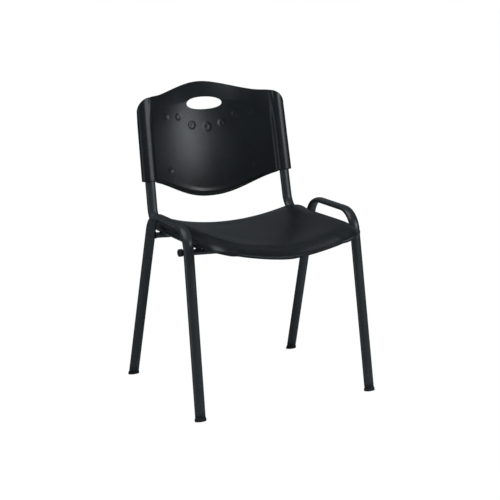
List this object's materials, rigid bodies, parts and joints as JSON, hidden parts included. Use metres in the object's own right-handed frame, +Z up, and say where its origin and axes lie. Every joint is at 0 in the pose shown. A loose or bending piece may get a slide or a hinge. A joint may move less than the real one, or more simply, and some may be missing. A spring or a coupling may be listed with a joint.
{
  "type": "stacking chair",
  "caption": "Armless stacking chair: bent oval-tube leg frames, round crossbars, and a moulded seat and sleeved backrest with a carrying hole.",
  "frame": {"origin": "on the floor, under the middle of the chair's bounding box", "axes": "+Z up, the chair faces -Y, +X is the right side as seen by someone standing in front of it"},
  "size_m": [0.5548, 0.5554, 0.82],
  "materials": {
    "frame_paint": "black powder coat, satin",
    "shell_plastic": "black moulded polypropylene, fine satin grain",
    "foot_plastic": "dull black moulded plastic",
    "screw_zinc": "zinc plated"
  },
  "bodies": {
    "root": {"backrest_shell": "shell_plastic", "front_crossbar": "frame_paint", "front_left_foot": "foot_plastic", "front_left_seat_screw": "screw_zinc", "front_right_foot": "foot_plastic", "front_right_seat_screw": "screw_zinc", "left_back_support": "frame_paint", "left_backrest_screw": "screw_zinc", "left_crossbar_cap": "foot_plastic", "left_leg_frame": "frame_paint", "left_seat_rail_plug": "foot_plastic", "rear_crossbar": "frame_paint", "rear_left_foot": "foot_plastic", "rear_left_seat_screw": "screw_zinc", "rear_right_foot": "foot_plastic", "rear_right_seat_screw": "screw_zinc", "right_back_support": "frame_paint", "right_backrest_screw": "screw_zinc", "right_crossbar_cap": "foot_plastic", "right_leg_frame": "frame_paint", "right_seat_rail_plug": "foot_plastic", "seat_shell": "shell_plastic"}
  },
  "joints": []
}
